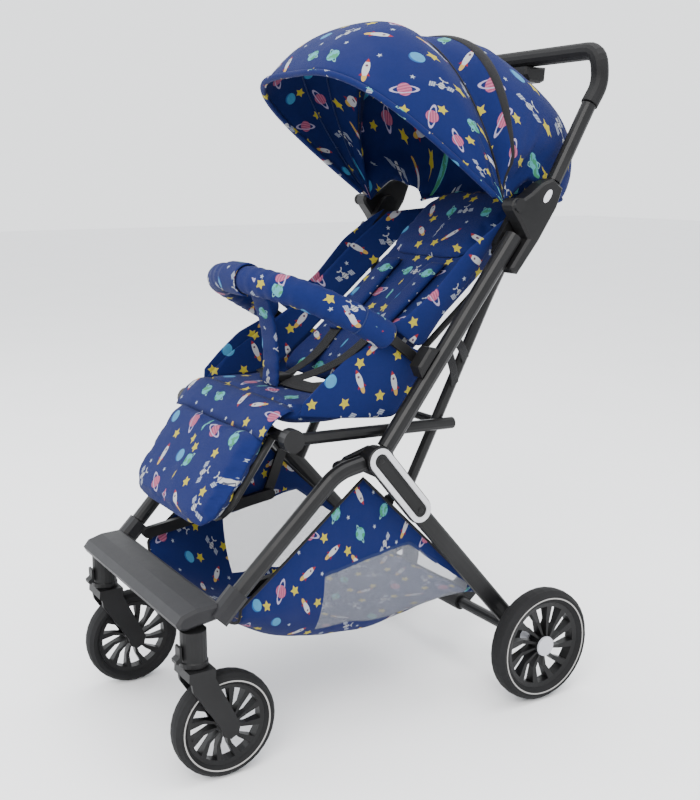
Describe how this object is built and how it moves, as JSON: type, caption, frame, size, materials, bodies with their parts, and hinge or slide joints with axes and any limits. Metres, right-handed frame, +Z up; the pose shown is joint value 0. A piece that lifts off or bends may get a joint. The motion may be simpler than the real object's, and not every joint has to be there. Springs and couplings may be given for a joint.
{
  "type": "baby stroller",
  "caption": "Folding baby stroller with reclining padded seat, calf rest, bumper bar, folding canopy, under-seat basket, swivelling front wheels and a push handle.",
  "frame": {"origin": "on the ground, below the middle of the bounding box", "axes": "+Z up; the stroller faces -Y and the seated child's left is +X"},
  "size_m": [0.4786, 0.7029, 0.9991],
  "materials": {
    "frame_black": "black powder coat",
    "black_plastic": "fine texture",
    "tyre_black": "matt, moulded",
    "rim_black": "satin",
    "cap_grey": "satin silver",
    "button_grey": "satin",
    "grip_cover": "soft, matt",
    "print_fabric": "royal blue cloth printed with a small space pattern"
  },
  "bodies": {
    "main_frame": {"upper_tube_left": "frame_black", "upper_tube_right": "frame_black", "fold_hub_left": "black_plastic", "fold_hub_right": "black_plastic", "seat_rail_left": "frame_black", "seat_rail_right": "frame_black", "bumper_socket_left": "black_plastic", "bumper_socket_right": "black_plastic", "seat_rear_tube": "frame_black", "seat_cushion": "print_fabric", "crotch_strap": "print_fabric", "basket": "print_fabric"},
    "backrest": {"backrest_frame": "frame_black", "backrest_cushion": "print_fabric"},
    "calf_rest": {"calf_frame": "frame_black", "calf_cushion": "print_fabric"},
    "bumper": {"bumper_bar": "print_fabric"},
    "handle": {"handle_tube_left": "frame_black", "handle_tube_right": "frame_black", "handle_housing_left": "black_plastic", "handle_housing_right": "black_plastic", "canopy_pivot_left": "black_plastic", "canopy_pivot_right": "black_plastic", "handle_grip": "grip_cover", "control_box": "black_plastic", "canopy_rear_fabric": "print_fabric"},
    "fold_button": {"fold_button": "button_grey"},
    "canopy_front": {"canopy_front_bow": "frame_black", "canopy_front_fabric": "print_fabric"},
    "rear_frame": {"rear_leg_left": "frame_black", "rear_leg_right": "frame_black", "hub_plate_left": "black_plastic", "hub_plate_right": "black_plastic", "rear_axle_bolt_left": "cap_grey", "rear_axle_bolt_right": "cap_grey", "rear_axle": "frame_black"},
    "brake": {"brake_pedal": "black_plastic"},
    "rear_wheel_left": {"rear_tyre_left": "tyre_black", "rear_rim_left": "rim_black"},
    "rear_wheel_right": {"rear_tyre_right": "tyre_black", "rear_rim_right": "rim_black"},
    "front_frame": {"front_leg_left": "frame_black", "front_leg_right": "frame_black", "caster_socket_left": "black_plastic", "caster_socket_right": "black_plastic", "footrest": "black_plastic"},
    "caster_left": {"caster_fork_left": "black_plastic"},
    "caster_right": {"caster_fork_right": "black_plastic"},
    "caster_lock_left": {"caster_lock_left": "black_plastic"},
    "caster_lock_right": {"caster_lock_right": "black_plastic"},
    "front_wheel_left": {"front_tyre_left": "tyre_black", "front_rim_left": "rim_black"},
    "front_wheel_right": {"front_tyre_right": "tyre_black", "front_rim_right": "rim_black"},
    "braces": {"brace_left": "frame_black", "brace_right": "frame_black"},
    "knee_links": {"knee_link_left": "frame_black", "knee_link_right": "frame_black"},
    "struts": {"rear_strut_left": "frame_black", "rear_strut_right": "frame_black"}
  },
  "joints": [
    {"name": "frame_fold", "type": "hinge", "parent": "main_frame", "child": "rear_frame", "pos_m": [0, -0.0486, 0.406], "axis": [1, 0, 0], "range_deg": [0, 65], "deforming": ["basket"]},
    {"name": "front_fold", "type": "hinge", "parent": "main_frame", "child": "front_frame", "pos_m": [0, -0.0486, 0.406], "axis": [1, 0, 0], "range_deg": [0, 88.5], "deforming": ["basket"]},
    {"name": "handle_fold", "type": "hinge", "parent": "main_frame", "child": "handle", "pos_m": [0, 0.2104, 0.741], "axis": [1, 0, 0], "range_deg": [0, 40.5]},
    {"name": "strut_swing", "type": "hinge", "parent": "handle", "child": "struts", "pos_m": [0, 0.1804, 0.662], "axis": [1, 0, 0], "range_deg": [-63.5, 0]},
    {"name": "brace_swing", "type": "hinge", "parent": "front_frame", "child": "braces", "pos_m": [0, -0.2716, 0.24], "axis": [1, 0, 0], "range_deg": [-4, 0]},
    {"name": "knee_swing", "type": "hinge", "parent": "rear_frame", "child": "knee_links", "pos_m": [0, -0.0086, 0.337], "axis": [1, 0, 0], "range_deg": [0, 50]},
    {"name": "backrest_recline", "type": "hinge", "parent": "main_frame", "child": "backrest", "pos_m": [0, -0.0186, 0.466], "axis": [-1, 0, 0], "range_deg": [-14, 24]},
    {"name": "calf_tilt", "type": "hinge", "parent": "main_frame", "child": "calf_rest", "pos_m": [0, -0.1686, 0.446], "axis": [-1, 0, 0], "range_deg": [0, 50]},
    {"name": "bumper_swing", "type": "hinge", "parent": "main_frame", "child": "bumper", "pos_m": [0, 0.0294, 0.5385], "axis": [-1, 0, 0], "range_deg": [0, 60], "deforming": ["crotch_strap"]},
    {"name": "canopy_fold", "type": "hinge", "parent": "handle", "child": "canopy_front", "pos_m": [0, 0.1764, 0.748], "axis": [-1, 0, 0], "range_deg": [0, 48], "deforming": ["canopy_front_fabric"]},
    {"name": "fold_button_press", "type": "slide", "parent": "handle", "child": "fold_button", "axis": [0, 0, 1], "range_m": [0, 0.003], "stiffness_N_per_m": 400, "springref_m": -0.002},
    {"name": "brake_press", "type": "hinge", "parent": "rear_frame", "child": "brake", "pos_m": [0, 0.2284, 0.0875], "axis": [-1, 0, 0], "range_deg": [0, 22]},
    {"name": "rear_wheel_spin_left", "type": "hinge", "parent": "rear_frame", "child": "rear_wheel_left", "pos_m": [0.223, 0.2284, 0.0875], "axis": [1, 0, 0], "continuous": true},
    {"name": "caster_swivel_left", "type": "hinge", "parent": "front_frame", "child": "caster_left", "pos_m": [0.1672, -0.3176, 0.16], "axis": [0, 0, 1], "continuous": true},
    {"name": "front_wheel_spin_left", "type": "hinge", "parent": "caster_left", "child": "front_wheel_left", "pos_m": [0.1672, -0.2776, 0.0738], "axis": [1, 0, 0], "continuous": true},
    {"name": "caster_lock_left", "type": "slide", "parent": "front_frame", "child": "caster_lock_left", "axis": [0, 0, 1], "range_m": [0, 0.004]},
    {"name": "rear_wheel_spin_right", "type": "hinge", "parent": "rear_frame", "child": "rear_wheel_right", "pos_m": [-0.223, 0.2284, 0.0875], "axis": [1, 0, 0], "continuous": true},
    {"name": "caster_swivel_right", "type": "hinge", "parent": "front_frame", "child": "caster_right", "pos_m": [-0.1672, -0.3176, 0.16], "axis": [0, 0, 1], "continuous": true},
    {"name": "front_wheel_spin_right", "type": "hinge", "parent": "caster_right", "child": "front_wheel_right", "pos_m": [-0.1672, -0.2776, 0.0738], "axis": [1, 0, 0], "continuous": true},
    {"name": "caster_lock_right", "type": "slide", "parent": "front_frame", "child": "caster_lock_right", "axis": [0, 0, 1], "range_m": [0, 0.004]}
  ],
  "couplings": [
    {"joint": "front_fold", "follows": "frame_fold", "ratio": 1.3538},
    {"joint": "handle_fold", "follows": "frame_fold", "ratio": 0.6154},
    {"joint": "strut_swing", "follows": "frame_fold", "ratio": -0.9674},
    {"joint": "brace_swing", "follows": "frame_fold", "ratio": -0.0572},
    {"joint": "knee_swing", "follows": "frame_fold", "ratio": 0.76}
  ]
}
